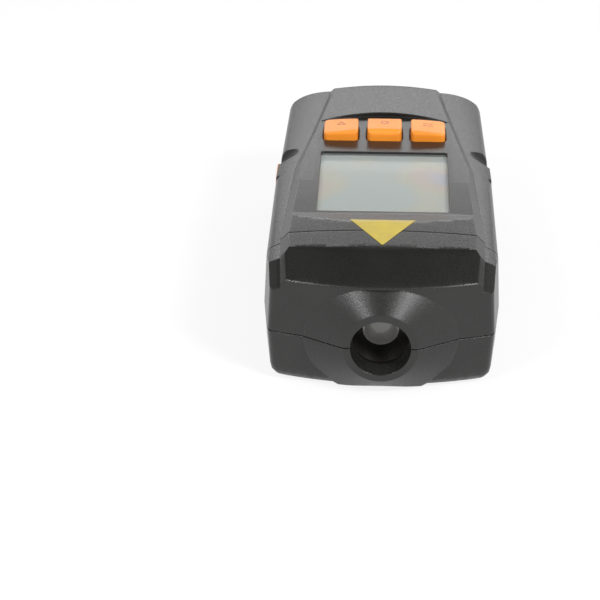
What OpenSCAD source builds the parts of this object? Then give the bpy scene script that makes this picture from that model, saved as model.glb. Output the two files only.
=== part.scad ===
// Handheld laser tachometer: a moulded three-piece housing with a flared snout, a display,
// three keys, a side trigger and coaxial optics, fed by a nine-volt battery.
// The nose points along -Y, X is to the right, Z is up and the base lies on z = 0.

/* [Housing] */
// Length from the rim of the snout to the back end
body_l = 138; // [134:0.5:146]
// Width over the side walls at the parting plane
body_w = 68.6; // [67:0.2:74]
// Height of the crowned deck above the base
body_h = 40.2; // [39:0.1:43]
// Wall of the moulded shells
wall = 2.2; // [1.8:0.1:2.6]
// Height of the parting plane, which holds the optical axis
axis_z = 16.5; // [15.8:0.1:17.5]
// Length from the rim to the seam between nose cover and top cover
nose_l = 27; // [26:0.2:29]
// Radius of the front face in plan
front_bow_r = 97; // [80:1:130]
// Radius of the back end in plan
back_bow_r = 150; // [100:5:250]
// How far each side comes in from the seam to the front face
nose_in = 2; // [1:0.1:3]
// How far each side comes in from the waist to the back end
tail_in = 1.4; // [0.5:0.1:3]
// Radius of the two front corners in plan
nose_r = 2.5; // [1.5:0.1:4]
// Radius of the two back corners in plan
tail_r = 7; // [5:0.5:9]
// Radius along the bottom edge
base_r = 5; // [4:0.2:7]
// Lean of the walls above the parting plane, in degrees
upper_draft = 3; // [1:0.1:4]
// Lean of the walls below the parting plane, in degrees
lower_draft = 3.4; // [1:0.1:5]
// Shadow gap between two shells
shell_gap = 0.3; // [0.2:0.05:0.5]

/* [Deck] */
// Height of the ledge below the sloping nose face
ledge_z = 32.5; // [31:0.1:33.5]
// Slope of the nose face below the deck, in degrees
nose_slope = 33.7; // [30:0.1:38]
// Radius of the fold between deck and nose face
fold_r = 8; // [4:0.5:12]
// Drop from the deck to the highest line of a flank
flank_drop = 2.5; // [2:0.1:3]
// Distance of that line from the side
flank_in = 15.3; // [14:0.1:17]
// Crown radius of a flank, from that line out to the side
flank_crown_r = 25.6; // [24:0.2:28]
// Rounding between flank and side wall
flank_r = 4; // [2:0.1:5]
// How far the flank folds behind the deck
flank_fold = 2; // [0:0.1:4]
// Distance of a ridge from the side at the front face
ridge_nose_in = 5.9; // [5:0.1:7]
// Distance of a ridge from the side at the seam
ridge_seam_in = 4.7; // [4:0.1:5.5]
// Distance of a ridge from the side at the waist
ridge_waist_in = 6.9; // [6:0.1:8]
// Distance of a ridge from the side at the back end
ridge_back_in = 15.1; // [13:0.1:17]
// Distance of the waist behind the seam
waist_l = 48.7; // [44:0.1:52]
// Drop of the chamfer along each ridge
ridge_drop = 2.2; // [1.5:0.1:2.6]
// Crown radius of the deck ahead of the display
nose_crown_r = 312; // [200:4:400]
// Crown radius of the deck behind the keys
rear_crown_r = 150; // [110:5:250]
// Depth of the flat pocket below the crown
pocket_d = 1.5; // [1:0.1:2]
// Radius of the pocket's back wall in plan
pocket_r = 54; // [40:1:80]
// Distance from the keys to the pocket's back wall
pocket_back = 8.2; // [6:0.1:10]
// Length of the ramp from the pocket up to the nose
ramp_l = 8.5; // [6:0.1:10]
// Distance from the ramp to the display opening
ramp_gap = 1.6; // [1:0.1:3]
// Distance of the finger notches behind the waist
notch_back = 14; // [11:0.1:16]
// Radius of the scoop that forms a finger notch
notch_r = 5.5; // [4:0.1:7]
// How far a finger notch reaches in from the side
notch_in = 7.4; // [6:0.1:8]
// Fall of the scoop towards the side, in degrees
notch_fall = 44; // [42:0.5:46]
// Step of the side wall behind the notch
relief = 0.5; // [0.3:0.1:0.8]

/* [Snout] */
// How far the rim stands ahead of the front face
snout_out = 4; // [3:0.1:5]
// Radius of the flat rim
rim_r = 10.6; // [10:0.1:11.5]
// Radius of the light opening
bore_r = 8.6; // [8:0.1:9.2]
// Depth at which the flare's size is given
flare_l = 6.5; // [5:0.1:8]
// Width of the flare at that depth
flare_w = 44.2; // [40:0.2:48]
// Height of the flare at that depth
flare_h = 37.4; // [34:0.2:39]
// How far the round chin below the rim runs back to the base
chin_l = 11; // [9:0.1:14]

/* [Display] */
// Width of the display opening
lcd_w = 39.4; // [36:0.2:41]
// Length of the display opening
lcd_l = 42.2; // [38:0.2:43]
// Distance from the seam to the display opening
lcd_gap = 15.6; // [14:0.1:18]
// Corner radius of the display opening
lcd_r = 1; // [0.5:0.1:2]
// Thickness of the bezel around the display opening
bezel_t = 0.6; // [0.5:0.1:0.9]
// How far the window reaches under the bezel
window_lap = 1.5; // [1:0.1:1.8]
// Thickness of the window
window_t = 0.8; // [0.6:0.1:1]
// Thickness of the display panel
panel_t = 2.4; // [1.8:0.1:2.8]
// Wall of the display frame
frame_t = 1; // [0.8:0.1:1.2]
// Width of each contact strip
strip_w = 2; // [1.4:0.1:2.4]

/* [Keys] */
// Width of a key
key_w = 10.9; // [9.5:0.1:11.2]
// Length of a key
key_l = 10.8; // [9:0.1:11.5]
// Distance between two keys, centre to centre
key_pitch = 13.8; // [13.4:0.1:15]
// Distance from the display opening to the keys
key_gap = 8.8; // [7:0.1:10]
// Rise of the middle key above the pocket
key_rise = 3.5; // [2.5:0.1:4]
// Corner radius of a key in plan
key_r = 1.4; // [0.8:0.1:2]
// Rounding along the front and back of a key's top
key_top_r = 1.6; // [0.8:0.1:2.2]
// Rim of a key's flange
key_rim = 0.6; // [0.4:0.1:0.8]
// Thickness of a flange
flange_t = 1.2; // [0.8:0.1:1.5]
// Travel of a key
key_travel = 0.6; // [0.3:0.1:0.8]
// Side of a switch body
switch_w = 6; // [5:0.2:6.4]
// Height of a switch body
switch_h = 3.4; // [3:0.1:4]
// Radius of a switch plunger
plunger_r = 1.75; // [1.4:0.05:2]
// Rise of a plunger above its switch
plunger_rise = 1.5; // [1.2:0.1:1.8]

/* [Trigger] */
// Length of the trigger
trigger_l = 15.4; // [13:0.2:18]
// Height of the trigger
trigger_h = 7.4; // [6:0.2:8]
// How far the trigger stands out of the side wall
trigger_out = 1.2; // [1:0.1:1.6]
// Distance of the trigger's middle behind the waist
trigger_back = 17.5; // [15:0.1:20]
// Travel of the trigger
trigger_travel = 0.8; // [0.4:0.1:0.9]

/* [Optics] */
// Radius of the lens barrel
barrel_r = 9.6; // [9.3:0.1:10.2]
// Length of the lens barrel
barrel_l = 25; // [24:0.2:27]
// Radius of the funnel's mouth
funnel_r = 8.3; // [7.6:0.1:8.6]
// Depth of the funnel
funnel_l = 4.5; // [3.5:0.1:5.5]
// Radius of the barrel's inner bore
tube_r = 5.6; // [5.2:0.1:6]
// Thickness of the lens at its rim
lens_t = 2.2; // [1.6:0.1:2.6]
// Radius of curvature of the lens faces
lens_curve_r = 14; // [11:0.5:24]
// Length of the lens retaining ring
ring_l = 2; // [1.4:0.1:2.4]
// Thickness of the half mirror
mirror_t = 1; // [0.7:0.1:1.2]
// Length of the laser module
laser_l = 9; // [8:0.2:9.6]
// Radius of the photodiode
diode_r = 2.4; // [2:0.1:2.6]
// Width of the sensor board
sensor_w = 14; // [12:0.5:16]
// Length of the sensor board
sensor_l = 12; // [10:0.5:13]

/* [Power] */
// Width of the battery
battery_w = 26.5; // [25:0.1:27]
// Length of the battery's case
battery_l = 46; // [44:0.2:46.5]
// Thickness of the battery
battery_t = 17.5; // [16:0.1:18]
// Room behind the battery
battery_back = 5.5; // [5:0.1:7]
// Width of the battery door
door_w = 30; // [29:0.2:32]
// Height of the door's upturned back edge
door_h = 9; // [7.5:0.1:10]
// Width of each sliding tongue of the door
tongue_w = 1.2; // [0.8:0.1:1.4]

/* [Boards and screws] */
// Thickness of a circuit board
board_t = 1.6; // [1.2:0.1:1.8]
// Width of the main board
board_w = 48; // [46.5:0.5:50]
// Height of the main board's face below the pocket's wall
board_drop = 7.5; // [7.2:0.1:8]
// Distance of the housing screws from the side
screw_in = 7.9; // [7.4:0.1:8.4]
// Distance of the front screws from the seam
screw_front = 8.5; // [8:0.1:10]
// Distance of the back screws from the back end
screw_back = 14; // [12:0.5:16]
// Radius of a screw boss
boss_r = 3.2; // [2.8:0.1:3.6]
// Radius of a screw's shank
screw_r = 1.2; // [1:0.05:1.3]
// Radius of a screw's head
head_r = 2.2; // [2:0.05:2.4]
// Height of a screw's head
head_h = 1.7; // [1.4:0.1:2]

/* [Fits] */
// Clearance round a moving piece
run = 0.3; // [0.2:0.05:0.4]
// Clearance round a seated piece
fit = 0.12; // [0.08:0.02:0.2]

/* [Hidden] */
$fn = 64;
soft_fn = 40;
eps = 0.01;
far = 200;

bow_n = 10;
half_w = body_w / 2;
corner_x = half_w - nose_in;
y_rim = -body_l / 2;
y_back = body_l / 2;
y_face = y_rim + snout_out;
y_seam = y_rim + nose_l;
y_waist = y_seam + waist_l;
bow_y = y_face + front_bow_r;
floor_z = body_h - pocket_d;
roof_z = floor_z - wall;
ridge_z = floor_z - ridge_drop;
ridge_nose_w = body_w - 2 * ridge_nose_in;
ridge_seam_w = body_w - 2 * ridge_seam_in;
ridge_waist_w = body_w - 2 * ridge_waist_in;
ridge_back_w = body_w - 2 * ridge_back_in;
flank_x = half_w - flank_in;
flank_top = body_h - flank_drop;
flank_side = flank_at(wall_x(flank_at(wall_x(flank_top))));

lcd_y0 = y_seam + lcd_gap;
lcd_y1 = lcd_y0 + lcd_l;
lcd_y = (lcd_y0 + lcd_y1) / 2;
window_z = floor_z - bezel_t - window_t;
panel_gap = 0.1;
panel_z = window_z - panel_gap - panel_t;
frame_w = lcd_w + 2 * window_lap;
frame_l = lcd_l + 2 * window_lap;
panel_w = frame_w - 2 * (fit + frame_t);
panel_l = frame_l - 2 * (fit + frame_t);
frame_lip = 1;

board_z = roof_z - board_drop;
board_under = board_z - board_t;
board_y0 = lcd_y - frame_l / 2 - 2 * boss_r - 2;
board_y1 = lcd_y1 + key_gap + key_l + 3 + 2 * boss_r;
board_hole_x = board_w / 2 - 7;
board_hole_y = [board_y0 + boss_r + 0.4, board_y1 - boss_r - 0.4];

key_y = lcd_y1 + key_gap + key_l / 2;
key_xs = [-key_pitch, 0, key_pitch];
flange_z = roof_z - run - flange_t;
plunger_z = board_z + switch_h + plunger_rise;
plunger_in = 2;
stem_r = plunger_r + 0.5;

pocket_y = key_y + key_l / 2 + pocket_back;
ramp_y0 = lcd_y0 - ramp_gap;

trigger_y = y_waist + trigger_back;
trigger_z = board_under - switch_w / 2;
trigger_wall = side_x(trigger_y, trigger_z);
trigger_seat = trigger_wall - wall - 2 * run;
trigger_rim = 1.2;
trigger_tip = board_w / 2 + plunger_rise;
notch_y = y_waist + notch_back;

barrel_y0 = bow_y - sqrt(pow(front_bow_r - wall, 2) - pow(barrel_r, 2)) + barrel_r * tan(lower_draft) / 2 + fit;
barrel_y1 = barrel_y0 + barrel_l;
lens_y = barrel_y0 + funnel_l;
lens_lip = 0.4;
lens_edge = 0.6;
ring_y = lens_y + lens_t;
ring_t = 1.2;
laser_y = barrel_y1 - laser_l;
laser_nose = 1;
laser_out = 0.8;
mirror_y = (ring_y + ring_l + laser_y - laser_nose) / 2;
mirror_l = 6;
pad_z = axis_z + barrel_r + 0.5;
diode_z = axis_z + tube_r + 0.6;
clamp_y = barrel_y0 + 3.5;
clamp_l = 2.2;
saddle_l = 2.5;
saddle_ys = [barrel_y0 + 5, barrel_y1 - 1.5 - saddle_l];

battery_z = wall + run;
battery_r = 2;
battery_y1 = y_back - battery_back;
battery_y0 = battery_y1 - battery_l;
terminal_l = 2.5;
terminal_r = [2.8, 3.9];
terminal_x = 6.35;
snap_l = 5;
snap_h = 12.5;
snap_r = 3;
snap_y = battery_y0 - fit - snap_l;
wire_room = 2.2;
bay_x = battery_w / 2 + 2 * run;
bay_t = 2;
bay_top = axis_z - 2;
door_y = snap_y - wire_room;
door_back = battery_y1 - 1;
tongue_t = 1.2;
tongue_end = 5;
tongue_x = door_w / 2 + run + tongue_w + run;
groove_n = 5;
groove_l = 1.2;
groove_d = 0.6;

screw_xs = [half_w - screw_in, half_w - tail_in - screw_in];
screw_ys = [y_seam - screw_front, y_back - screw_back];
screw_head_z = 9;
screw_l = 15;
pilot_l = screw_l - axis_z + screw_head_z + 2;
board_screw_l = 6;
chip_w = 12;
chip_t = 1.6;
chip_r = 0.6;

shell_colour = "#34342f";
key_colour = "#f59a2c";
board_colour = "#2f6b3c";
metal_colour = "#b9bcc0";

// Half-width of the ridge line at a place along the body
function ridge_x(y) = y < y_seam ? lookup(y, [[y_face, ridge_nose_w / 2], [y_seam, ridge_seam_w / 2]])
  : lookup(y, [[y_seam, ridge_seam_w / 2], [y_waist, ridge_waist_w / 2], [y_back, ridge_back_w / 2]]);

// Distance of the outer wall from the middle, behind the waist and above the parting plane
function side_x(y, z) = half_w - tail_in * (y - y_waist) / (y_back - y_waist) - relief
  - (z - axis_z) * tan(upper_draft);

// Distance of the side wall from the middle, ahead of the notches and above the parting plane
function wall_x(z) = half_w - (z - axis_z) * tan(upper_draft);

// Height of the flank at a distance from the middle
function flank_at(x) = flank_top - flank_crown_r + sqrt(pow(flank_crown_r, 2) - pow(x - flank_x, 2));

// A point of the front's bow in plan: a step across the front, at a distance from the bow's centre
function bow_point(k, r) = let (a = asin(k * corner_x / bow_n / front_bow_r)) [r * sin(a), bow_y - r * cos(a)];

// A profile in x and z, drawn out along Y
module along_y(y0, y1) {
  translate([0, y1, 0]) rotate([90, 0, 0]) linear_extrude(y1 - y0) children();
}

// A profile in y and z, drawn out along X
module along_x(x0, x1) {
  translate([x0, 0, 0]) rotate([90, 0, 90]) linear_extrude(x1 - x0) children();
}

// The same shape on both sides of the middle plane
module both_sides() {
  children();
  mirror([1, 0, 0]) children();
}

// An outline drawn in and rounded at its outer corners
module softened(r, inset = 0) {
  offset(r = r, $fn = soft_fn) offset(delta = -r - inset) children();
}

// A rectangle with round corners, about its middle
module round_rect(w, l, r) {
  softened(r) square([w, l], center = true);
}

// A slot with half-round ends, lying along its first axis
module capsule(l, h) {
  square([l - h, h], center = true);
  for (side = [-1, 1]) translate([side * (l - h) / 2, 0]) circle(d = h);
}

// A round bar along Y on the optical axis
module axis_bar(r, y0, y1) {
  translate([0, y0, axis_z]) rotate([-90, 0, 0]) cylinder(r = r, h = y1 - y0);
}

// The housing's outline in plan at the parting plane
module plan(inset = 0) {
  bow = [for (k = [-bow_n:bow_n]) bow_point(k, front_bow_r)];
  tail_x = half_w - tail_in;
  tail = [for (k = [4:-1:-4]) [k * tail_x / 4, y_back - pow(k * tail_x / 4, 2) / (2 * back_bow_r)]];
  intersection() {
    softened(nose_r, inset)
      polygon(concat(bow, [[half_w, y_seam], [half_w, far], [-half_w, far], [-half_w, y_seam]]));
    softened(tail_r, inset)
      polygon(concat(tail, [[-half_w, y_waist], [-half_w, -far], [half_w, -far], [half_w, y_waist]]));
  }
}

// One thin layer of the housing's outline
module layer(z, inset) {
  translate([0, 0, z]) linear_extrude(eps) plan(inset);
}

// What the side walls lose behind the finger notch, leaning with the wall
module side_relief(inset, lean) {
  front = notch_y - notch_r;
  step = notch_y + relief;
  back = y_back + 1;
  both_sides() translate([0, 0, axis_z]) translate([half_w, 0, 0]) rotate([0, lean, 0]) translate([-half_w, 0, -far / 2])
    linear_extrude(far) polygon([
      [half_w + base_r, front],
      [half_w - inset, front],
      [side_x(step, axis_z) - inset, step],
      [side_x(back, axis_z) - inset, back],
      [half_w + base_r, back]
    ]);
}

// The tray below the parting plane, rounded along its bottom edge
module lower_form(inset = 0) {
  r = base_r - inset;
  lean = (axis_z - base_r) * tan(lower_draft);
  difference() {
    hull() {
      layer(axis_z - eps, inset);
      for (t = [0:22.5:90]) layer(base_r - r * sin(t), inset + lean + r * (1 - cos(t)));
    }
    side_relief(inset, lower_draft);
  }
}

// The flanks: a roof that rounds down to both sides and folds down with the nose
module flank_form(inset) {
  fold_y = y_face + (body_h - ledge_z) / tan(nose_slope) + flank_fold;
  pivot_z = flank_at(ridge_seam_w / 2);
  intersection() {
    along_y(-far, far) flank_profile(inset);
    translate([0, fold_y, pivot_z]) rotate([nose_slope, 0, 0]) translate([0, 0, -pivot_z])
      along_y(-far, far) flank_profile(inset);
  }
}

// The flanks' profile: flat between their highest lines and crowned from there to the sides
module flank_profile(inset) {
  centre_z = flank_top - flank_crown_r;
  reach = flank_x + flank_crown_r - inset;
  for (side = [-1, 1]) translate([side * flank_x, centre_z]) circle(flank_crown_r - inset, $fn = 120);
  translate([-flank_x, centre_z]) square([2 * flank_x, flank_crown_r - inset]);
  translate([-reach, -far]) square([2 * reach, far + centre_z]);
}

// What lies outside one stretch of a ridge, with its chamfer: from one point to the next in plan
module ridge_cut(from, to, inset, tilt = 0, pivot = [0, 0]) {
  turn = atan2(to[0] - from[0], to[1] - from[1]);
  top = body_h + 8;
  edge = ridge_z - inset * tan(22.5);
  translate([0, pivot[0], pivot[1]]) rotate([tilt, 0, 0]) translate([0, -pivot[0], -pivot[1]])
    translate([from[0], from[1], 0]) rotate([0, 0, -turn])
      along_y(-far / 2, far / 2) polygon([
        [-inset, 0], [-inset, edge], [-inset - top + edge, top], [far / 4, top], [far / 4, 0]
      ]);
}

// The raised deck between the two ridges
module deck_form(inset) {
  fold_y = y_face + (body_h - ledge_z) / tan(nose_slope);
  nose = [ridge_nose_w / 2, y_face];
  seam = [ridge_seam_w / 2, y_seam];
  waist = [ridge_waist_w / 2, y_waist];
  tail = [ridge_back_w / 2, y_back];
  top_z = inset > 0 ? floor_z - inset : body_h;
  difference() {
    intersection() {
      translate([-far / 2, -far / 2, axis_z]) cube([far, far, top_z - axis_z]);
      union() {
        along_y(-far / 2, lcd_y) translate([0, body_h - nose_crown_r]) circle(nose_crown_r, $fn = 180);
        along_y(lcd_y, far / 2) translate([0, body_h - rear_crown_r]) circle(rear_crown_r, $fn = 180);
      }
    }
    both_sides() {
      ridge_cut(waist, tail, inset);
      ridge_cut(seam, waist, inset);
      ridge_cut(nose, seam, inset);
      ridge_cut(nose, seam, inset, nose_slope, [fold_y, body_h]);
    }
  }
}

// One thin layer of the room behind the front's bow
module bow_layer(r, z) {
  side = round(bow_n * 4 / 3);
  back = [half_w + tail_r, y_back + tail_r];
  bow = [for (k = [-side:side + 1]) bow_point(k - 0.5, r)];
  translate([0, 0, z - eps]) linear_extrude(eps) polygon(concat(bow, [back, [-back[0], back[1]]]));
}

// The sloping nose face with its fold into the deck, following the bow of the front
module nose_form(inset) {
  edge_r = front_bow_r - inset;
  edge_z = ledge_z - inset * (1 - sin(nose_slope)) / cos(nose_slope);
  top_z = body_h - inset;
  fold_in = (top_z - edge_z) / tan(nose_slope) + fold_r * tan(nose_slope / 2);
  skirt = 6;
  folds = 6;
  hull() {
    bow_layer(edge_r + skirt, axis_z - 1);
    bow_layer(edge_r + skirt, edge_z - skirt * tan(nose_slope));
    for (k = [0:folds]) let (a = k * nose_slope / folds)
      bow_layer(edge_r - fold_in + fold_r * sin(a), top_z - fold_r * (1 - cos(a)));
  }
}

// Rounding cut along the edge between flank and side wall, from one place to another
module flank_round(x0, y0, x1, y1) {
  fall = asin(((x0 + x1) / 2 - flank_x) / flank_crown_r);
  wall_n = [cos(upper_draft), sin(upper_draft)];
  flank_n = [sin(fall), cos(fall)];
  centre = -(flank_r - eps) * (wall_n + flank_n) / (1 + wall_n * flank_n);
  turn = atan2(x1 - x0, y1 - y0);
  climb = atan2(flank_at(x1) - flank_at(x0), y1 - y0);
  translate([x0, y0, flank_at(x0)]) rotate([climb, 0, -turn])
    along_y(-1, norm([x1 - x0, y1 - y0]) + 1) difference() {
      polygon([centre + flank_r * wall_n, [0.6, -0.4], [0.5, 0.5], [-0.4, 0.8], centre + flank_r * flank_n]);
      translate(centre) circle(flank_r);
    }
}

// The covers above the parting plane, as one form
module upper_form(inset = 0) {
  top = body_h + 2;
  intersection() {
    hull() {
      layer(axis_z, inset);
      layer(top, inset + (top - axis_z) * tan(upper_draft));
    }
    nose_form(inset);
    union() {
      flank_form(inset);
      deck_form(inset);
    }
  }
}

// The upper form with its outside cuts
module upper_body() {
  edge_x = wall_x(flank_side);
  difference() {
    difference() {
      difference() {
        upper_form();
        side_relief(0, -upper_draft);
        deck_pocket();
      }
      finger_notches();
    }
    both_sides() flank_round(edge_x, y_seam - flank_r, edge_x, y_waist);
    both_sides() flank_round(side_x(notch_y, flank_side), notch_y, side_x(y_back, flank_side), y_back);
  }
}

// The flat pocket that holds display and keys, with its ramp and its round back wall
module deck_pocket() {
  intersection() {
    along_x(-far / 2, far / 2) polygon([
      [ramp_y0 - ramp_l, body_h], [ramp_y0, floor_z], [far, floor_z], [far, far], [ramp_y0 - ramp_l, far]
    ]);
    translate([0, pocket_y - pocket_r, 0]) cylinder(r = pocket_r, h = far, $fn = 180);
    ridge_slab();
  }
}

// The width of the deck, from which the pocket is cut
module ridge_slab() {
  translate([0, 0, floor_z - eps]) linear_extrude(far) polygon([
    [ridge_seam_w / 2, y_seam], [ridge_waist_w / 2, y_waist], [ridge_back_w / 2, y_back],
    [-ridge_back_w / 2, y_back], [-ridge_waist_w / 2, y_waist], [-ridge_seam_w / 2, y_seam]
  ]);
}

// The scoop that forms each finger notch, or the wall behind it when grown
module finger_notches(grow = 0) {
  foot = half_w - notch_in;
  lead = 2;
  both_sides() translate([foot, notch_y, flank_at(foot)]) rotate([0, notch_fall, 0])
    translate([-lead - grow, 0, notch_r]) rotate([0, 90, 0]) rotate(180) cylinder(r = notch_r + grow, h = half_w);
}

// The flared snout, from its round rim back into the front face
module snout() {
  chin_z = axis_z - rim_r - run;
  chin_r = (chin_l * chin_l + chin_z * chin_z) / (2 * chin_z);
  intersection() {
    hull() {
      axis_bar(rim_r, y_rim, y_rim + eps);
      translate([0, y_rim + flare_l, axis_z]) rotate([-90, 0, 0]) scale([flare_w / 2, flare_h / 2, 1])
        cylinder(r = 1, h = eps);
    }
    along_x(-far / 2, far / 2) {
      translate([y_rim + chin_l, chin_r]) circle(chin_r);
      translate([y_rim - 1, chin_r]) square([far, ledge_z - chin_r]);
    }
  }
}

// The light opening through the snout
module light_bore() {
  axis_bar(bore_r, y_rim - 1, barrel_y0 + 1);
}

// Half-space above or below the parting plane
module above_parting() {
  translate([-far / 2, -far / 2, axis_z + shell_gap / 2]) cube(far);
}

module below_parting() {
  translate([-far / 2, -far / 2, axis_z - shell_gap / 2 - far]) cube(far);
}

// Everything from one place to another along the body
module between(y0, y1) {
  translate([-far / 2, y0, -far / 2]) cube([far, y1 - y0, far]);
}

// The places of the housing screws: the front pair or the back pair
module at_screws(pair) {
  both_sides() translate([screw_xs[pair], screw_ys[pair], 0]) children();
}

module at_all_screws() {
  at_screws(0) children();
  at_screws(1) children();
}

// The places of the four board screws
module at_board_screws() {
  for (side = [-1, 1], y = board_hole_y) translate([side * board_hole_x, y, 0]) children();
}

// The two saddles that carry the barrel from below
module saddles() {
  half = barrel_r + wall;
  top = axis_z - barrel_r / 3;
  difference() {
    for (y = saddle_ys) translate([-half, y, wall / 2]) cube([2 * half, saddle_l, top - wall / 2]);
    axis_bar(barrel_r + fit, barrel_y0, barrel_y1);
  }
}

// The battery bay's side walls and front wall
module battery_bay() {
  half = tongue_x + bay_t;
  front = door_y - run - bay_t;
  translate([0, 0, wall / 2]) linear_extrude(bay_top - wall / 2) difference() {
    translate([-half, front]) square([2 * half, battery_y1 - tongue_end - front]);
    translate([-bay_x, front + bay_t]) square([2 * bay_x, far]);
  }
}

// The room that the door and its tongues need in the tray
module door_room() {
  w = door_w / 2 + run;
  y0 = door_y - run;
  translate([-w, y0, -1]) cube([2 * w, far, wall + run + 1]);
  translate([-w, door_back - run, -1]) cube([2 * w, far, door_h + run + 1]);
  translate([-tongue_x, y0, wall - tongue_t - run]) cube([2 * tongue_x, far, tongue_t + 2 * run]);
}

module bottom_shell() {
  color(shell_colour) difference() {
    union() {
      intersection() {
        difference() {
          union() {
            lower_form();
            snout();
          }
          lower_form(wall);
        }
        below_parting();
      }
      intersection() {
        lower_form(wall / 2);
        union() {
          saddles();
          battery_bay();
        }
      }
      at_all_screws() cylinder(r = boss_r, h = axis_z);
    }
    light_bore();
    door_room();
    at_all_screws() {
      translate([0, 0, -1]) cylinder(r = head_r + run, h = screw_head_z + 1);
      cylinder(r = screw_r + fit, h = axis_z + 1);
    }
  }
}

// The bosses that stand down from a cover's flanks to the parting plane
module cover_bosses(pair) {
  intersection() {
    at_screws(pair) translate([0, 0, axis_z + shell_gap / 2]) cylinder(r = boss_r, h = body_h);
    flank_form(wall / 2);
  }
}

// The pilot holes in those bosses
module cover_pilots(pair) {
  at_screws(pair) translate([0, 0, axis_z - 1]) cylinder(r = screw_r + fit, h = pilot_l);
}

// The bosses that carry the main board
module board_bosses() {
  at_board_screws() translate([0, 0, board_z]) cylinder(r = boss_r, h = board_drop + wall / 2);
}

module board_pilots() {
  at_board_screws() translate([0, 0, board_z - 1]) cylinder(r = screw_r + fit, h = board_screw_l);
}

module key_outline(grow) {
  round_rect(key_w + 2 * grow, key_l + 2 * grow, key_r + grow);
}

module top_cover() {
  color(shell_colour) difference() {
    union() {
      intersection() {
        difference() {
          upper_body();
          difference() {
            upper_form(wall);
            finger_notches(wall);
          }
        }
        above_parting();
        between(y_seam + shell_gap / 2, far / 2);
      }
      cover_bosses(1);
      board_bosses();
    }
    cover_pilots(1);
    board_pilots();
    translate([0, lcd_y, roof_z - 1]) linear_extrude(far) round_rect(lcd_w, lcd_l, lcd_r);
    translate([0, lcd_y, roof_z - 1]) linear_extrude(1 + wall - bezel_t)
      square([lcd_w + 2 * (window_lap + fit), lcd_l + 2 * (window_lap + fit)], center = true);
    for (x = key_xs) translate([x, key_y, roof_z - 1]) linear_extrude(far) key_outline(run);
    translate([0, trigger_y, trigger_z]) along_x(-body_w, -half_w / 2)
      capsule(trigger_l + 2 * run, trigger_h + 2 * run);
  }
}

// The rib that holds the barrel down from above
module barrel_clamp() {
  low = axis_z + barrel_r / 2;
  high = ledge_z + (clamp_y - y_face) * tan(nose_slope) - wall / 2;
  difference() {
    translate([-barrel_r, clamp_y, low]) cube([2 * barrel_r, clamp_l, high - low]);
    axis_bar(barrel_r + fit, barrel_y0, barrel_y1);
  }
}

module nose_cover() {
  color(shell_colour) difference() {
    union() {
      intersection() {
        difference() {
          union() {
            upper_body();
            snout();
          }
          upper_form(wall);
        }
        above_parting();
        between(-far / 2, y_seam - shell_gap / 2);
      }
      cover_bosses(0);
      barrel_clamp();
    }
    cover_pilots(0);
    light_bore();
  }
}

// The sliding door in the base, with its upturned back edge, grip grooves and side tongues
module battery_door() {
  w = door_w / 2;
  color(shell_colour) {
    difference() {
      intersection() {
        difference() {
          lower_form();
          lower_form(wall);
        }
        union() {
          translate([-w, door_y, -1]) cube([door_w, far, wall + 1]);
          translate([-w, door_back, -1]) cube([door_w, far, door_h + 1]);
        }
      }
      for (k = [1:groove_n]) translate([-w / 2, door_y + (2 * k + 1) * groove_l, -1])
        cube([w, groove_l, groove_d + 1]);
    }
    both_sides() translate([w - eps, door_y, wall - tongue_t])
      cube([tongue_w + eps, battery_y1 - tongue_end - door_y, tongue_t]);
  }
}

// The places of the two battery terminals, at a distance from the case and pointing forwards
module at_terminals(back, grow, l) {
  for (k = [0, 1]) translate([(2 * k - 1) * terminal_x, battery_y0 + back, battery_z + battery_t / 2])
    rotate([90, 0, 0]) cylinder(r = terminal_r[k] + grow, h = l + back);
}

module battery() {
  color("#c9a13b") {
    translate([0, battery_y1, battery_z + battery_t / 2]) rotate([90, 0, 0]) linear_extrude(battery_l)
      round_rect(battery_w, battery_t, battery_r);
    at_terminals(eps, 0, terminal_l);
  }
}

// The snap-on connector over both battery terminals
module battery_snap() {
  color("#1c1c1c") difference() {
    translate([0, snap_y + snap_l, battery_z + battery_t / 2]) rotate([90, 0, 0]) linear_extrude(snap_l)
      round_rect(battery_w - 2 * run, snap_h, snap_r);
    at_terminals(1, fit, terminal_l + fit);
  }
}

module lcd_window() {
  color("#cfd8d6") translate([0, lcd_y, window_z]) linear_extrude(window_t)
    square([lcd_w + 2 * window_lap, lcd_l + 2 * window_lap], center = true);
}

module lcd_panel() {
  color("#aab5b0") translate([0, lcd_y, panel_z]) linear_extrude(panel_t)
    square([panel_w, panel_l], center = true);
}

// The frame that stands on the board, carries the panel and holds the window up
module lcd_frame() {
  color("#202020") translate([0, lcd_y, 0]) difference() {
    translate([0, 0, board_z]) linear_extrude(window_z - board_z) square([frame_w, frame_l], center = true);
    translate([0, 0, panel_z]) linear_extrude(far)
      square([panel_w + 2 * fit, panel_l + 2 * fit], center = true);
    translate([0, 0, board_z - 1]) linear_extrude(far)
      square([panel_w - 2 * frame_lip, panel_l - 2 * frame_lip], center = true);
  }
}

// Two rubber strips that join the panel's contacts to the board
module contact_strips() {
  l = panel_w - 2 * frame_lip - 2 * fit;
  offset_y = panel_l / 2 - frame_lip - fit - strip_w / 2;
  color("#6f6f75") for (side = [-1, 1]) translate([0, lcd_y + side * offset_y, board_z]) linear_extrude(panel_z - board_z)
    square([l, strip_w], center = true);
}

module main_board() {
  color(board_colour) difference() {
    translate([-board_w / 2, board_y0, board_under]) cube([board_w, board_y1 - board_y0, board_t]);
    at_board_screws() translate([0, 0, board_under - 1]) cylinder(r = screw_r + fit, h = board_t + 2);
  }
}

module controller_chip() {
  color("#1a1a1c") translate([0, lcd_y, board_z]) linear_extrude(chip_t) round_rect(chip_w, chip_w, chip_r);
}

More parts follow.
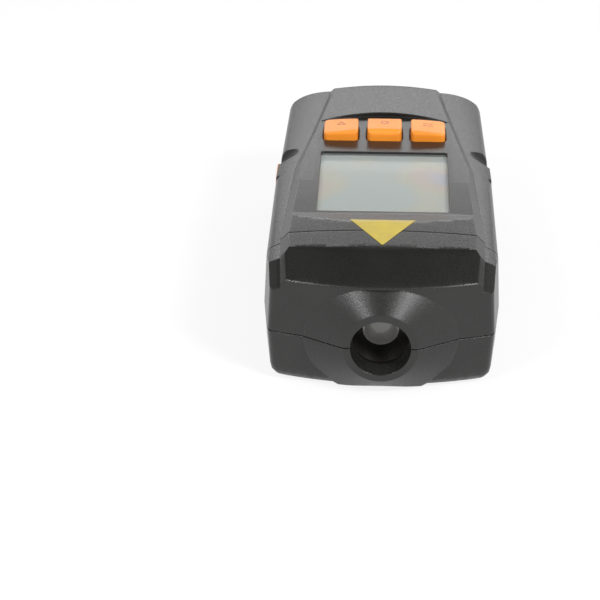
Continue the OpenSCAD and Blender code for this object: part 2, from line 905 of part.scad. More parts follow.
// One key: a crowned cap with a flange under the cover and a stem to its switch
module key(x) {
  top = floor_z + key_rise;
  color(key_colour) {
    intersection() {
      translate([x, key_y, flange_z]) linear_extrude(far) key_outline(0);
      along_x(x - key_w, x + key_w) translate([key_y, top - key_l / 2]) round_rect(key_l, key_l, key_top_r);
      along_y(key_y - key_l, key_y + key_l) translate([0, top - rear_crown_r]) circle(rear_crown_r, $fn = 180);
    }
    translate([x, key_y, flange_z]) linear_extrude(flange_t) key_outline(key_rim);
    translate([x, key_y, plunger_z]) cylinder(r = stem_r, h = flange_z - plunger_z + eps);
  }
}

module key_left() key(key_xs[0]);
module key_middle() key(key_xs[1]);
module key_right() key(key_xs[2]);

// A switch body with the hole for its plunger, standing on its mounting face
module switch_body(travel) {
  color("#26272a") difference() {
    translate([-switch_w / 2, -switch_w / 2, 0]) cube([switch_w, switch_w, switch_h]);
    translate([0, 0, switch_h - plunger_in - travel - run]) cylinder(r = plunger_r + fit, h = switch_h);
  }
}

module plunger() {
  color("#3a3b3f") translate([0, 0, switch_h - plunger_in]) cylinder(r = plunger_r, h = plunger_in + plunger_rise);
}

module on_board(x) {
  translate([x, key_y, board_z]) children();
}

module switch_left() on_board(key_xs[0]) switch_body(key_travel);
module switch_middle() on_board(key_xs[1]) switch_body(key_travel);
module switch_right() on_board(key_xs[2]) switch_body(key_travel);
module plunger_left() on_board(key_xs[0]) plunger();
module plunger_middle() on_board(key_xs[1]) plunger();
module plunger_right() on_board(key_xs[2]) plunger();

// The trigger in the left wall, with its flange behind the wall and a stem to its switch
module trigger_button() {
  color(key_colour) translate([0, trigger_y, trigger_z]) {
    along_x(-trigger_wall - trigger_out, -trigger_seat + flange_t) capsule(trigger_l, trigger_h);
    along_x(-trigger_seat, -trigger_seat + flange_t) capsule(trigger_l + 2 * trigger_rim, trigger_h + 2 * trigger_rim);
    translate([-trigger_seat + flange_t - eps, 0, 0]) rotate([0, 90, 0])
      cylinder(r = stem_r, h = trigger_seat - flange_t - trigger_tip + eps);
  }
}

// The trigger's switch hangs under the board's left edge, facing the wall
module at_trigger_switch() {
  translate([-board_w / 2 + switch_h, trigger_y, trigger_z]) rotate([0, -90, 0]) children();
}

module trigger_switch() at_trigger_switch() switch_body(trigger_travel);
module trigger_plunger() at_trigger_switch() plunger();

// The barrel: a dark funnel in front, the lens seat and one bore through to the back
module lens_barrel() {
  color("#17171a") difference() {
    union() {
      axis_bar(barrel_r, barrel_y0, barrel_y1);
      translate([-sensor_w / 2, mirror_y - sensor_l / 2, axis_z]) cube([sensor_w, sensor_l, pad_z - axis_z]);
    }
    translate([0, barrel_y0 - eps, axis_z]) rotate([-90, 0, 0])
      cylinder(r1 = funnel_r, r2 = tube_r - lens_lip, h = funnel_l + 2 * eps);
    axis_bar(tube_r, lens_y, barrel_y1 + 1);
    translate([0, mirror_y, axis_z]) cylinder(r = diode_r + fit, h = far);
  }
}

// A lens with a rounded front face, seated behind the funnel's lip
module collector_lens() {
  dome_r = tube_r - lens_lip - lens_edge;
  sag = lens_curve_r - sqrt(pow(lens_curve_r, 2) - pow(dome_r, 2));
  color("#8fa3ad") {
    axis_bar(tube_r - fit, lens_y, ring_y);
    intersection() {
      translate([0, lens_y - sag + lens_curve_r, axis_z]) sphere(lens_curve_r);
      axis_bar(dome_r, lens_y - sag - 1, lens_y + eps);
    }
  }
}

// The ring that holds the lens in its seat
module lens_ring() {
  color(metal_colour) difference() {
    axis_bar(tube_r - fit, ring_y, ring_y + ring_l);
    axis_bar(tube_r - ring_t, ring_y - 1, ring_y + ring_l + 1);
  }
}

// A tilted plate that turns the returning light up to the photodiode
module half_mirror() {
  color("#9fc4cf") intersection() {
    axis_bar(tube_r - fit, ring_y, laser_y);
    translate([0, mirror_y, axis_z]) rotate([-45, 0, 0]) cube([2 * barrel_r, mirror_t, mirror_l], center = true);
  }
}

// The photodiode hangs from the sensor board into the top of the barrel
module photodiode() {
  color("#20242c") translate([0, mirror_y, diode_z]) cylinder(r = diode_r, h = pad_z - diode_z);
}

module sensor_board() {
  color(board_colour) translate([-sensor_w / 2, mirror_y - sensor_l / 2, pad_z]) cube([sensor_w, sensor_l, board_t]);
}

// The laser module, pushed into the back of the barrel
module laser_module() {
  color("#b08d4a") {
    axis_bar(tube_r - fit, laser_y, barrel_y1 + laser_out);
    axis_bar(tube_r / 2, laser_y - laser_nose, laser_y + eps);
  }
}

// A pan-head screw pointing up, with its head under the origin
module screw(l) {
  translate([0, 0, -head_h]) cylinder(r = head_r, h = head_h);
  translate([0, 0, -eps]) cylinder(r = screw_r, h = l + eps);
}

module housing_screws() {
  color(metal_colour) at_all_screws() translate([0, 0, screw_head_z]) screw(screw_l);
}

module board_screws() {
  color(metal_colour) at_board_screws() translate([0, 0, board_under]) screw(board_screw_l);
}

bottom_shell();
top_cover();
nose_cover();
battery_door();
battery();
battery_snap();
lcd_window();
lcd_panel();
lcd_frame();
contact_strips();
main_board();
controller_chip();
key_left();
key_middle();
key_right();
switch_left();
switch_middle();
switch_right();
plunger_left();
plunger_middle();
plunger_right();
trigger_button();
trigger_switch();
trigger_plunger();
lens_barrel();
collector_lens();
lens_ring();
half_mirror();
photodiode();
sensor_board();
laser_module();
housing_screws();
board_screws();
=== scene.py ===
import math

import bmesh
import bpy
from mathutils import Matrix, Vector
from mathutils.bvhtree import BVHTree


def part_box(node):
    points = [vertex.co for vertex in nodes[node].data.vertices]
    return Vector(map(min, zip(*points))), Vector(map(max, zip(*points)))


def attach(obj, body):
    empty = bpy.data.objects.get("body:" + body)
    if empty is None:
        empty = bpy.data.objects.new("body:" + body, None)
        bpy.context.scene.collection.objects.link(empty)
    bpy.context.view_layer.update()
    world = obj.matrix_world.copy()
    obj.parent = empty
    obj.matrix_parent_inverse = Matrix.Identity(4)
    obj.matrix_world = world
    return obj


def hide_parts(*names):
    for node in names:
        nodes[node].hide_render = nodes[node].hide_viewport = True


# Frame and camera. The solids come in at their real size and place, in metres.
# The camera stands before the snout, looks down on the deck and is turned a little to the left.
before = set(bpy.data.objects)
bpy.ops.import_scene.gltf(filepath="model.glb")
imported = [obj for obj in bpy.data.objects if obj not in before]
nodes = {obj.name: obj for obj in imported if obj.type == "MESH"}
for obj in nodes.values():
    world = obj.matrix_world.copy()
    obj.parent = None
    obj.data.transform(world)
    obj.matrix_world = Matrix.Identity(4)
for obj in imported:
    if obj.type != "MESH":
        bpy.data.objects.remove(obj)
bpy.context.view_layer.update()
scene = bpy.context.scene
scene.view_settings.view_transform = "Standard"
MM = 0.001

CAMERA_PLACE = Vector((-0.18, -556.49, 297.49)) * MM
CAMERA_PITCH = math.radians(28.574)
CAMERA_YAW = math.radians(-2.633)
CAMERA_ROLL = math.radians(-0.173)
LENS_MM = 120
SENSOR_MM = 36
NEAREST_M = 0.01

ahead = Vector(
    (
        math.sin(CAMERA_YAW) * math.cos(CAMERA_PITCH),
        math.cos(CAMERA_YAW) * math.cos(CAMERA_PITCH),
        -math.sin(CAMERA_PITCH),
    )
)
level = Vector((math.cos(CAMERA_YAW), -math.sin(CAMERA_YAW), 0))
upright = level.cross(ahead)
right = level * math.cos(CAMERA_ROLL) + upright * math.sin(CAMERA_ROLL)
above = upright * math.cos(CAMERA_ROLL) - level * math.sin(CAMERA_ROLL)
turn = Matrix((right, above, -ahead)).transposed().to_4x4()
camera = bpy.data.objects.new("camera", bpy.data.cameras.new("camera"))
camera.data.lens = LENS_MM
camera.data.sensor_width = SENSOR_MM
camera.data.clip_start = NEAREST_M
camera.matrix_world = Matrix.Translation(CAMERA_PLACE) @ turn
scene.collection.objects.link(camera)
scene.camera = camera


# Bottom shell. A tray moulded in black plastic with a fine grain, open at the top.
# It carries the optics and the battery, and the covers are screwed down on it.
BLACK_DARK = (0.0105, 0.0105, 0.01)
BLACK_LIGHT = (0.0142, 0.0142, 0.0134)
NOISE_LOW = 0.3
NOISE_HIGH = 0.7
WANDER_MM = 14
GLOSS_WANDER = 0.07
WELD_MM = 0.1
GRID_MM = 2.0
CUT_MM = 0.01
SLIVER_MM = 0.004
CREASE = math.radians(28)
HOLLOW_CREASE = math.radians(12)


def finish_start(name, roughness):
    """A new material with its nodes and its shader."""
    finish = bpy.data.materials.new(name)
    finish.use_nodes = True
    tree = finish.node_tree
    shader = tree.nodes["Principled BSDF"]
    shader.inputs["Roughness"].default_value = roughness
    return finish, tree, shader


def on_piece(tree):
    """The coordinates of the piece itself."""
    return tree.nodes.new("ShaderNodeTexCoord").outputs["Object"]


def cloudy(tree, place, size_mm, detail=3.0):
    """Soft noise with patches of about the given size."""
    noise = tree.nodes.new("ShaderNodeTexNoise")
    noise.inputs["Scale"].default_value = 1 / (size_mm * MM)
    noise.inputs["Detail"].default_value = detail
    tree.links.new(place, noise.inputs["Vector"])
    return noise.outputs["Fac"]


def between(tree, amount, low, high):
    """The noise, spread over a range of values."""
    spread = tree.nodes.new("ShaderNodeMapRange")
    spread.inputs["From Min"].default_value = NOISE_LOW
    spread.inputs["From Max"].default_value = NOISE_HIGH
    spread.inputs["To Min"].default_value = low
    spread.inputs["To Max"].default_value = high
    tree.links.new(amount, spread.inputs["Value"])
    return spread.outputs["Result"]


def shades(tree, amount, dark, light):
    """A colour between two shades of a material."""
    ramp = tree.nodes.new("ShaderNodeValToRGB")
    first, last = ramp.color_ramp.elements
    first.position = NOISE_LOW
    first.color = (*dark, 1)
    last.position = NOISE_HIGH
    last.color = (*light, 1)
    tree.links.new(amount, ramp.inputs["Fac"])
    return ramp.outputs["Color"]


def grain(tree, shader, height, depth_mm):
    """Raises the surface a little by the given height."""
    bump = tree.nodes.new("ShaderNodeBump")
    bump.inputs["Distance"].default_value = depth_mm * MM
    tree.links.new(height, bump.inputs["Height"])
    tree.links.new(bump.outputs["Normal"], shader.inputs["Normal"])
    return bump


def moulded_plastic(name, dark, light, roughness, grain_mm, depth_mm, edge_mm):
    """Plastic with a moulded grain and soft edges: shade and gloss wander a little over the piece."""
    finish, tree, shader = finish_start(name, roughness)
    place = on_piece(tree)
    wander = cloudy(tree, place, WANDER_MM)
    fine = cloudy(tree, place, grain_mm, detail=2.0)
    gloss = between(tree, fine, roughness - GLOSS_WANDER, roughness + GLOSS_WANDER)
    tree.links.new(shades(tree, wander, dark, light), shader.inputs["Base Color"])
    tree.links.new(gloss, shader.inputs["Roughness"])
    soft_edges = tree.nodes.new("ShaderNodeBevel")
    soft_edges.samples = 6
    soft_edges.inputs["Radius"].default_value = edge_mm * MM
    bump = grain(tree, shader, fine, depth_mm)
    tree.links.new(soft_edges.outputs["Normal"], bump.inputs["Normal"])
    return finish


def welded(node):
    """The skin of a solid with its points joined."""
    skin = bmesh.new()
    skin.from_mesh(nodes[node].data)
    bmesh.ops.remove_doubles(skin, verts=skin.verts, dist=WELD_MM * MM)
    return skin


def cut_even(skin, spacing_mm):
    """Cuts long faces along and across, so that shading stays local and a flat piece can follow a bend."""
    for axis in (0, 1):
        places = [vert.co[axis] for vert in skin.verts]
        place = min(places) + spacing_mm / 2 * MM
        across = Vector((0, 0, 0))
        across[axis] = 1
        while place < max(places):
            geom = skin.verts[:] + skin.edges[:] + skin.faces[:]
            cut = across * place
            bmesh.ops.bisect_plane(skin, geom=geom, dist=CUT_MM * MM, plane_co=cut, plane_no=across)
            place += spacing_mm * MM
    bmesh.ops.dissolve_degenerate(skin, dist=SLIVER_MM * MM, edges=skin.edges)


def piece_from(name, skin, finish):
    """An object with the given skin and finish."""
    mesh = bpy.data.meshes.new(name)
    skin.to_mesh(mesh)
    skin.free()
    mesh.materials.append(finish)
    piece = bpy.data.objects.new(name, mesh)
    scene.collection.objects.link(piece)
    return piece


def stand_in(node, body, finish, skin):
    """A piece with the given skin that takes the place of a solid, smooth but for its creases."""
    for edge in skin.edges:
        limit = CREASE if edge.is_convex else HOLLOW_CREASE
        edge.smooth = len(edge.link_faces) == 2 and edge.calc_face_angle() < limit
    for face in skin.faces:
        face.smooth = True
    piece = piece_from(node + "_moulding", skin, finish)
    piece.data.attributes.remove(piece.data.attributes["custom_normal"])
    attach(piece, body)
    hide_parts(node)
    return piece


black_plastic = moulded_plastic(
    "black grained plastic",
    BLACK_DARK,
    BLACK_LIGHT,
    roughness=0.31,
    grain_mm=0.32,
    depth_mm=0.015,
    edge_mm=0.65,
)
tray = welded("bottom_shell")
cut_even(tray, GRID_MM)
stand_in("bottom_shell", "housing", black_plastic, tray)


# Battery door. The same plastic as the shell, with tongues that slide in grooves along the bay.
# Its upturned back edge closes the end of the battery bay.
door = welded("battery_door")
cut_even(door, GRID_MM)
stand_in("battery_door", "door", black_plastic, door)


# Battery and snap connector. A nine-volt block in a lacquered steel can with two snap terminals.
# The connector is a soft black moulding pressed over the terminals.
CAN_DARK = (0.46, 0.31, 0.07)
CAN_LIGHT = (0.55, 0.39, 0.11)
SOFT_BLACK_DARK = (0.022, 0.022, 0.024)
SOFT_BLACK_LIGHT = (0.032, 0.032, 0.034)
PLAIN_DEPTH_MM = 0.004
PLAIN_GLOSS_WANDER = 0.05


def dress(node, finish):
    """Gives a solid its finish."""
    mesh = nodes[node].data
    mesh.materials.clear()
    mesh.materials.append(finish)


def plain_finish(name, dark, light, roughness, patch_mm, metallic=0.0):
    """A finish with a slight wander in shade, gloss and level."""
    finish, tree, shader = finish_start(name, roughness)
    shader.inputs["Metallic"].default_value = metallic
    wander = cloudy(tree, on_piece(tree), patch_mm)
    gloss = between(tree, wander, roughness - PLAIN_GLOSS_WANDER, roughness + PLAIN_GLOSS_WANDER)
    tree.links.new(shades(tree, wander, dark, light), shader.inputs["Base Color"])
    tree.links.new(gloss, shader.inputs["Roughness"])
    grain(tree, shader, wander, PLAIN_DEPTH_MM)
    return finish


lacquer = plain_finish("lacquered can", CAN_DARK, CAN_LIGHT, roughness=0.35, patch_mm=6, metallic=0.6)
dress("battery", lacquer)
soft_black = plain_finish(
    "soft black moulding", SOFT_BLACK_DARK, SOFT_BLACK_LIGHT, roughness=0.55, patch_mm=2
)
dress("battery_snap", soft_black)


# Lens barrel and optics. A turned tube, blackened inside and out, lies on the axis behind the snout.
# It holds the collecting lens with its ring, a half mirror and the laser module.
# The photodiode looks in from above, on a small board of its own.
BARREL_BLACK = (0.012, 0.011, 0.01, 1)
BARREL_GLOSS = (0.18, 0.28)
TURNING_SCALE = 900
TURNING_WAVER = 0.6
TURNING_DEPTH_MM = 0.003
# The lens's pale greys are painted sheen: they stand in for the light seen on the glass, not the glass's
# own colour.
LENS_SHEEN_DARK = (0.21, 0.207, 0.198)
LENS_SHEEN_LIGHT = (0.27, 0.265, 0.252)
LENS_SHEEN_PATCH_MM = 5
ALUMINIUM_DARK = (0.55, 0.56, 0.58)
ALUMINIUM_LIGHT = (0.66, 0.67, 0.69)
BRASS_DARK = (0.58, 0.41, 0.15)
BRASS_LIGHT = (0.68, 0.5, 0.2)
MASK_DARK = (0.02, 0.13, 0.04)
MASK_LIGHT = (0.03, 0.18, 0.06)

barrel_black, tree, shader = finish_start("blackened barrel", roughness=0.22)
shader.inputs["Base Color"].default_value = BARREL_BLACK
turned = tree.nodes.new("ShaderNodeTexWave")
turned.wave_type = "BANDS"
turned.bands_direction = "Y"
turned.inputs["Scale"].default_value = TURNING_SCALE
turned.inputs["Distortion"].default_value = TURNING_WAVER
tree.links.new(on_piece(tree), turned.inputs["Vector"])
tree.links.new(between(tree, turned.outputs["Fac"], *BARREL_GLOSS), shader.inputs["Roughness"])
grain(tree, shader, turned.outputs["Fac"], TURNING_DEPTH_MM)
dress("lens_barrel", barrel_black)

# Lens and half mirror get a pale grey base colour that paints the sheen of the glass. It wanders in soft
# patches.
lens_painted_sheen, tree, shader = finish_start("coated lens with painted sheen", roughness=0.2)
shader.inputs["Coat Weight"].default_value = 0.6
shader.inputs["Coat Roughness"].default_value = 0.03
sheen_patches = cloudy(tree, on_piece(tree), LENS_SHEEN_PATCH_MM)
tree.links.new(shades(tree, sheen_patches, LENS_SHEEN_DARK, LENS_SHEEN_LIGHT), shader.inputs["Base Color"])
dress("collector_lens", lens_painted_sheen)
dress("half_mirror", lens_painted_sheen)
dress("photodiode", soft_black)

turned_metal = {"roughness": 0.3, "patch_mm": 1.2, "metallic": 1.0}
dress("lens_ring", plain_finish("turned aluminium", ALUMINIUM_DARK, ALUMINIUM_LIGHT, **turned_metal))
dress("laser_module", plain_finish("turned brass", BRASS_DARK, BRASS_LIGHT, **turned_metal))
solder_mask = plain_finish("green solder mask", MASK_DARK, MASK_LIGHT, roughness=0.4, patch_mm=3)
dress("sensor_board", solder_mask)


# Main board. Glass-fibre board with a green mask, screwed to bosses under the deck.
# It carries the controller, the key switches with their plungers and the trigger's switch.
dress("main_board", solder_mask)
dress("controller_chip", soft_black)
for side in ("left", "middle", "right"):
    dress("switch_" + side, soft_black)
    dress("plunger_" + side, soft_black)
dress("trigger_switch", soft_black)
dress("trigger_plunger", soft_black)


# Display. A glass panel in a black frame stands on the board, joined to it by two rubber strips.
# A clear window under the bezel covers it, and the panel's back film gives faint soft colours.
STRIP_DARK = (0.2, 0.2, 0.21)
STRIP_LIGHT = (0.3, 0.3, 0.31)
FILM_PATCH_MM = 29.412
FILM_FIRST = (0.195, 0.225, 0.228, 1)
FILM_LAST = (0.2, 0.232, 0.22, 1)
FILM_TINTS = {
    0.38: (0.2, 0.228, 0.216, 1),
    0.47: (0.235, 0.23, 0.175, 1),
    0.55: (0.265, 0.213, 0.178, 1),
    0.64: (0.205, 0.205, 0.25, 1),
}
WINDOW_TINT = (0.8, 0.86, 0.84, 1)
WINDOW_IOR = 1.6


def worked(tree, operation, first, second=0):
    """One step of arithmetic on a socket and a socket or a number."""
    step = tree.nodes.new("ShaderNodeMath")
    step.operation = operation
    tree.links.new(first, step.inputs[0])
    if isinstance(second, (int, float)):
        step.inputs[1].default_value = second
    else:
        tree.links.new(second, step.inputs[1])
    return step.outputs[0]


def mixed_surface(tree, share, first, second):
    """Two shaders mixed on a surface, with the given share of the second."""
    blend = tree.nodes.new("ShaderNodeMixShader")
    tree.links.new(share, blend.inputs["Fac"])
    tree.links.new(first, blend.inputs[1])
    tree.links.new(second, blend.inputs[2])
    tree.links.new(blend.outputs["Shader"], tree.nodes["Material Output"].inputs["Surface"])


dress("lcd_frame", soft_black)
strip_rubber = plain_finish("striped rubber", STRIP_DARK, STRIP_LIGHT, roughness=0.6, patch_mm=0.6)
dress("contact_strips", strip_rubber)

panel_grey, tree, shader = finish_start("display panel", roughness=0.3)
tinted = tree.nodes.new("ShaderNodeValToRGB")
tinted.color_ramp.interpolation = "EASE"
tinted.color_ramp.elements[0].color = FILM_FIRST
tinted.color_ramp.elements[1].color = FILM_LAST
for spot, shade in FILM_TINTS.items():
    tinted.color_ramp.elements.new(spot).color = shade
films = cloudy(tree, on_piece(tree), FILM_PATCH_MM, detail=1.5)
tree.links.new(films, tinted.inputs["Fac"])
tree.links.new(tinted.outputs["Color"], shader.inputs["Base Color"])
dress("lcd_panel", panel_grey)

clear_window, tree, shader = finish_start("clear window", roughness=0.06)
shader.inputs["Base Color"].default_value = WINDOW_TINT
see_through = tree.nodes.new("ShaderNodeBsdfTransparent")
fresnel = tree.nodes.new("ShaderNodeFresnel")
fresnel.inputs["IOR"].default_value = WINDOW_IOR
inner_side = tree.nodes.new("ShaderNodeNewGeometry").outputs["Backfacing"]
outer_gloss = worked(tree, "SUBTRACT", fresnel.outputs["Fac"], inner_side)
outer_gloss.node.use_clamp = True
mixed_surface(tree, outer_gloss, see_through.outputs["BSDF"], shader.outputs["BSDF"])
dress("lcd_window", clear_window)


# Keys and trigger. Caps moulded in orange plastic, with a satin finish and rounded edges.
# Each slides in its own opening. A small mark is printed on each key, and the trigger stands
# out of the left wall.
ORANGE_DARK = (0.8, 0.245, 0.019)
ORANGE_LIGHT = (0.88, 0.285, 0.026)
CAP_MESH_MM = 0.16
KEY_ROUNDING = 40
TRIGGER_ROUNDING = 16
MARK_COLOUR = (0.3, 0.05, 0.008, 1)
MARK_BACK_MM = 1.0
LINE_HALF_MM = 0.2
RING_RADIUS_MM = 1.0
TRIANGLE_REACH_MM = 0.7
BAR_APART_MM = 0.8
BAR_HALF_MM = 0.25
BAR_REACH_MM = 1.6


def orange_plastic(name):
    """The caps' plastic."""
    return moulded_plastic(
        name, ORANGE_DARK, ORANGE_LIGHT, roughness=0.38, grain_mm=0.4, depth_mm=0.006, edge_mm=0.4
    )


def cap(node, body, finish, rounding):
    """A cap with all its edges rounded as a mould leaves them."""
    piece = stand_in(node, body, finish, welded(node))
    even = piece.modifiers.new("even mesh", "REMESH")
    even.mode = "VOXEL"
    even.voxel_size = CAP_MESH_MM * MM
    even.use_smooth_shade = True
    rounded = piece.modifiers.new("rounded edges", "SMOOTH")
    rounded.factor = 0.5
    rounded.iterations = rounding


def line_at(tree, reach, middle_mm, half_mm):
    """How far a point lies outside a line, below nought within it."""
    off = worked(tree, "ABSOLUTE", worked(tree, "SUBTRACT", reach, middle_mm * MM))
    return worked(tree, "SUBTRACT", off, half_mm * MM)


def ring(tree, x, y):
    """A ring, drawn about its centre."""
    squares = worked(tree, "ADD", worked(tree, "MULTIPLY", x, x), worked(tree, "MULTIPLY", y, y))
    return line_at(tree, worked(tree, "SQRT", squares), RING_RADIUS_MM, LINE_HALF_MM)


def triangle(tree, x, y):
    """The outline of a triangle with its point to the back."""
    aside = worked(tree, "MULTIPLY", worked(tree, "ABSOLUTE", x), math.cos(math.radians(30)))
    sides = worked(tree, "ADD", aside, worked(tree, "MULTIPLY", y, math.sin(math.radians(30))))
    reach = worked(tree, "MAXIMUM", sides, worked(tree, "MULTIPLY", y, -1))
    return line_at(tree, reach, TRIANGLE_REACH_MM, LINE_HALF_MM)


def bars(tree, x, y):
    """Two level bars."""
    thick = line_at(tree, worked(tree, "ABSOLUTE", y), BAR_APART_MM, BAR_HALF_MM)
    past_end = worked(tree, "SUBTRACT", worked(tree, "ABSOLUTE", x), BAR_REACH_MM * MM)
    return worked(tree, "MAXIMUM", thick, past_end)


def printed(finish, centre, mark):
    """Prints a small dark mark on a finish."""
    tree = finish.node_tree
    colour = tree.nodes["Principled BSDF"].inputs["Base Color"]
    plain = colour.links[0].from_socket
    about = tree.nodes.new("ShaderNodeMapping")
    about.inputs["Location"].default_value = -centre
    tree.links.new(on_piece(tree), about.inputs["Vector"])
    along = tree.nodes.new("ShaderNodeSeparateXYZ")
    tree.links.new(about.outputs["Vector"], along.inputs["Vector"])
    inside = worked(tree, "LESS_THAN", mark(tree, along.outputs["X"], along.outputs["Y"]))
    ink = tree.nodes.new("ShaderNodeMix")
    ink.data_type = "RGBA"
    ink.inputs["B"].default_value = MARK_COLOUR
    tree.links.new(inside, ink.inputs["Factor"])
    tree.links.new(plain, ink.inputs["A"])
    tree.links.new(ink.outputs["Result"], colour)
    return finish


for side, mark in (("left", triangle), ("middle", ring), ("right", bars)):
    low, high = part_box("key_" + side)
    centre = Vector(((low.x + high.x) / 2, (low.y + high.y) / 2 + MARK_BACK_MM * MM, 0))
    key_finish = printed(orange_plastic("orange key " + side), centre, mark)
    cap("key_" + side, side + "_key", key_finish, KEY_ROUNDING)
cap("trigger_button", "trigger", orange_plastic("orange trigger"), TRIGGER_ROUNDING)


# Top cover and nose cover. Black mouldings that meet at a narrow seam across the deck.
# The top cover frames display and keys; the nose cover slopes down to the flared snout.
UP = Vector((0, 0, 1))
BACK = Vector((0, 1, 0))
FRONT = Vector((0, -1, 0))
SLOPE = Vector((0, -0.47, 0.88))
FACING = 0.85
BACK_ROUND_MM = 1.6
BACK_BEYOND_MM = 60
BACK_ABOVE_MM = 36
BACK_HALF_MM = 18
LEDGE_ROUND_MM = 0.4
LEDGE_ABOVE_MM = 31
LEDGE_HALF_MM = 27


def between_faces(skin, first, second):
    """The outer edges where a face that looks one way meets a face that looks another way."""
    chosen = []
    for edge in skin.edges:
        if len(edge.link_faces) == 2 and edge.is_convex:
            a, b = (face.normal for face in edge.link_faces)
            if min(a.dot(first), b.dot(second)) > FACING or min(b.dot(first), a.dot(second)) > FACING:
                chosen.append(edge)
    return chosen


def within(edge, above_mm, half_mm):
    """Whether an edge lies above a height and near the middle of the width."""
    return all(vert.co.z > above_mm * MM and abs(vert.co.x) < half_mm * MM for vert in edge.verts)


def round_off(skin, chosen, radius_mm):
    """Rounds the chosen edges."""
    bmesh.ops.bevel(
        skin,
        geom=chosen,
        offset=radius_mm * MM,
        affect="EDGES",
        segments=3,
        profile=0.5,
        material=-1,
        clamp_overlap=True,
    )


deck = welded("top_cover")
back_edge = [
    edge
    for edge in between_faces(deck, UP, BACK)
    if within(edge, BACK_ABOVE_MM, BACK_HALF_MM)
    and all(vert.co.y > BACK_BEYOND_MM * MM for vert in edge.verts)
]
round_off(deck, back_edge, BACK_ROUND_MM)
cut_even(deck, GRID_MM)
top_cover = stand_in("top_cover", "housing", black_plastic, deck)

nose = welded("nose_cover")
ledge_edge = [
    edge
    for edge in between_faces(nose, SLOPE, FRONT)
    if within(edge, LEDGE_ABOVE_MM, LEDGE_HALF_MM)
]
round_off(nose, ledge_edge, LEDGE_ROUND_MM)
cut_even(nose, GRID_MM)
nose_cover = stand_in("nose_cover", "housing", black_plastic, nose)


# Patch on the nose. A plain triangle of yellow foil, cut with small round corners.
# It is stuck down over the seam and follows the ramp and the crown that it lies on.
YELLOW_DARK = (0.41, 0.305, 0.015)
YELLOW_LIGHT = (0.49, 0.37, 0.021)
PATCH_SIDE_MM = 19.4
PATCH_BASE_Y_MM = -34.5
PATCH_CORNER_MM = 0.5
PATCH_THICK_MM = 0.08
PATCH_GRID_MM = 1.0
PATCH_DROP_MM = 3
SEAM_STEP_MM = 0.4
RAY_START_MM = 100


def skin_under(*pieces):
    """A tree of the pieces' faces, to lay a thin piece on."""
    faces = bmesh.new()
    for piece in pieces:
        faces.from_mesh(piece.data)
    skin = BVHTree.FromBMesh(faces)
    faces.free()
    return skin


def lay_on(flat, skin, lowest):
    """Drops a flat piece's points onto the skin below; over a gap they take the height of its brink."""
    for vert in flat.verts:
        for shift in (0, SEAM_STEP_MM, -SEAM_STEP_MM):
            start = Vector((vert.co.x, vert.co.y + shift * MM, RAY_START_MM * MM))
            spot = skin.ray_cast(start, -UP)[0]
            if spot and spot.z > lowest:
                vert.co.z = spot.z
                break


patch_yellow = plain_finish("yellow foil", YELLOW_DARK, YELLOW_LIGHT, roughness=0.35, patch_mm=3)
patch = bmesh.new()
reach_mm = PATCH_SIDE_MM / math.sqrt(3)
bmesh.ops.create_circle(patch, cap_ends=True, segments=3, radius=reach_mm * MM)
bmesh.ops.rotate(patch, verts=patch.verts, matrix=Matrix.Rotation(math.pi, 3, "Z"))
bmesh.ops.translate(patch, verts=patch.verts, vec=Vector((0, PATCH_BASE_Y_MM - reach_mm / 2, 0)) * MM)
bmesh.ops.bevel(
    patch,
    geom=patch.verts[:],
    offset=PATCH_CORNER_MM * MM,
    affect="VERTICES",
    segments=4,
    profile=0.5,
    material=-1,
)
cut_even(patch, PATCH_GRID_MM)
lay_on(patch, skin_under(top_cover, nose_cover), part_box("nose_cover")[1].z - PATCH_DROP_MM * MM)
bmesh.ops.recalc_face_normals(patch, faces=patch.faces)
bmesh.ops.solidify(patch, geom=patch.faces[:], thickness=-PATCH_THICK_MM * MM)
bmesh.ops.recalc_face_normals(patch, faces=patch.faces)
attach(piece_from("nose_patch", patch, patch_yellow), "housing")


# Screws. Pan-head screws of plated steel, a little dull.
# Those of the housing are driven from below through the tray, and the small ones hold the board.
STEEL_DARK = (0.5, 0.5, 0.52)
STEEL_LIGHT = (0.62, 0.62, 0.64)
plated_steel = plain_finish(
    "plated steel", STEEL_DARK, STEEL_LIGHT, roughness=0.3, patch_mm=0.8, metallic=1.0
)
dress("housing_screws", plated_steel)
dress("board_screws", plated_steel)


# Floor, lights and room. A white table that keeps the shadow, in a pale room with a dim ceiling.
# Two soft boxes stand high in front, and a weak strip stands low behind.
FLOOR_HALF_M = 3.0
FLOOR_DROP_MM = 0.02
FLOOR_WHITE = (0.86, 0.86, 0.86, 1)
FLOOR_GLOW = 0.85
ROOM_LIGHT = 0.5
ROOM_WALL = 1.0
ROOM_CEILING = 0.03
WALL_TOP = 0.05
CEILING_START = 0.9
FRONT_AIM = (0, -0.03, 0.02)
BACK_AIM = (0, 0.05, 0.04)


def looked_at(tree):
    """One for rays that look at the surroundings: from the camera, a gloss or a glass."""
    rays = tree.nodes.new("ShaderNodeLightPath").outputs
    camera_or_gloss = worked(tree, "MAXIMUM", rays["Is Camera Ray"], rays["Is Glossy Ray"])
    return worked(tree, "MAXIMUM", camera_or_gloss, rays["Is Transmission Ray"])


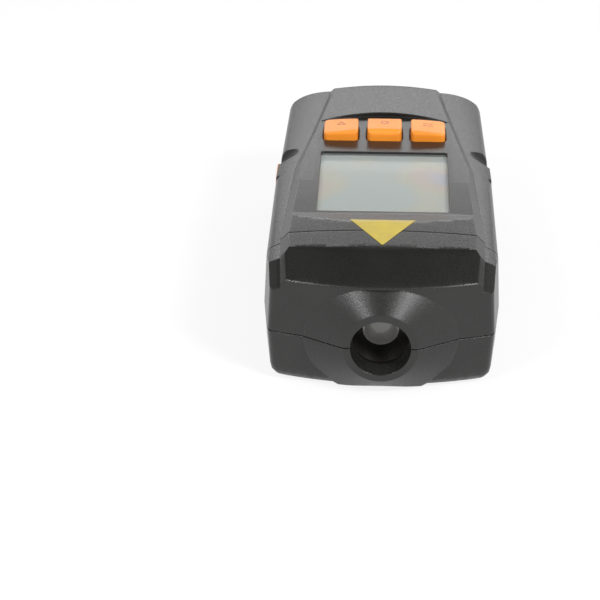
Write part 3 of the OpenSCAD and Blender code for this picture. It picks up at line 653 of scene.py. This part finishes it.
def soft_box(name, place, aim, width, height, power):
    """A flat lamp that looks at a point."""
    lamp = bpy.data.lights.new(name, "AREA")
    lamp.shape = "RECTANGLE"
    lamp.size = width
    lamp.size_y = height
    lamp.energy = power
    stand = bpy.data.objects.new(name, lamp)
    stand.location = place
    stand.rotation_euler = (Vector(aim) - Vector(place)).to_track_quat("-Z", "Y").to_euler()
    scene.collection.objects.link(stand)


table_white, tree, shader = finish_start("white table", roughness=0.8)
shader.inputs["Base Color"].default_value = FLOOR_WHITE
shader.inputs["Specular IOR Level"].default_value = 0.1
glow = tree.nodes.new("ShaderNodeEmission")
glow_share = worked(tree, "MULTIPLY", looked_at(tree), FLOOR_GLOW)
mixed_surface(tree, glow_share, shader.outputs["BSDF"], glow.outputs["Emission"])
table = bmesh.new()
below = Matrix.Translation(-UP * FLOOR_DROP_MM * MM)
bmesh.ops.create_grid(table, x_segments=1, y_segments=1, size=FLOOR_HALF_M, matrix=below)
piece_from("floor", table, table_white)

world = bpy.data.worlds.new("room")
scene.world = world
world.use_nodes = True
room = world.node_tree
direction = room.nodes.new("ShaderNodeSeparateXYZ")
room.links.new(room.nodes.new("ShaderNodeTexCoord").outputs["Generated"], direction.inputs["Vector"])
brightness = room.nodes.new("ShaderNodeMapRange")
brightness.inputs["From Min"].default_value = WALL_TOP
brightness.inputs["From Max"].default_value = CEILING_START
brightness.inputs["To Min"].default_value = ROOM_WALL
brightness.inputs["To Max"].default_value = ROOM_CEILING
room.links.new(direction.outputs["Z"], brightness.inputs["Value"])
strength = room.nodes.new("ShaderNodeMix")
strength.inputs["A"].default_value = ROOM_LIGHT
room.links.new(looked_at(room), strength.inputs["Factor"])
room.links.new(brightness.outputs["Result"], strength.inputs["B"])
room.links.new(strength.outputs["Result"], room.nodes["Background"].inputs["Strength"])
room.nodes["Background"].inputs["Color"].default_value = (1, 1, 1, 1)

soft_box("lamp_right", place=(0.57, -0.55, 0.72), aim=FRONT_AIM, width=0.21, height=0.21, power=8.6)
soft_box("lamp_left", place=(-0.48, -0.56, 0.68), aim=FRONT_AIM, width=0.21, height=0.21, power=3.8)
soft_box("lamp_back", place=(0.0, 0.25, 0.13), aim=BACK_AIM, width=0.36, height=0.04, power=0.15)
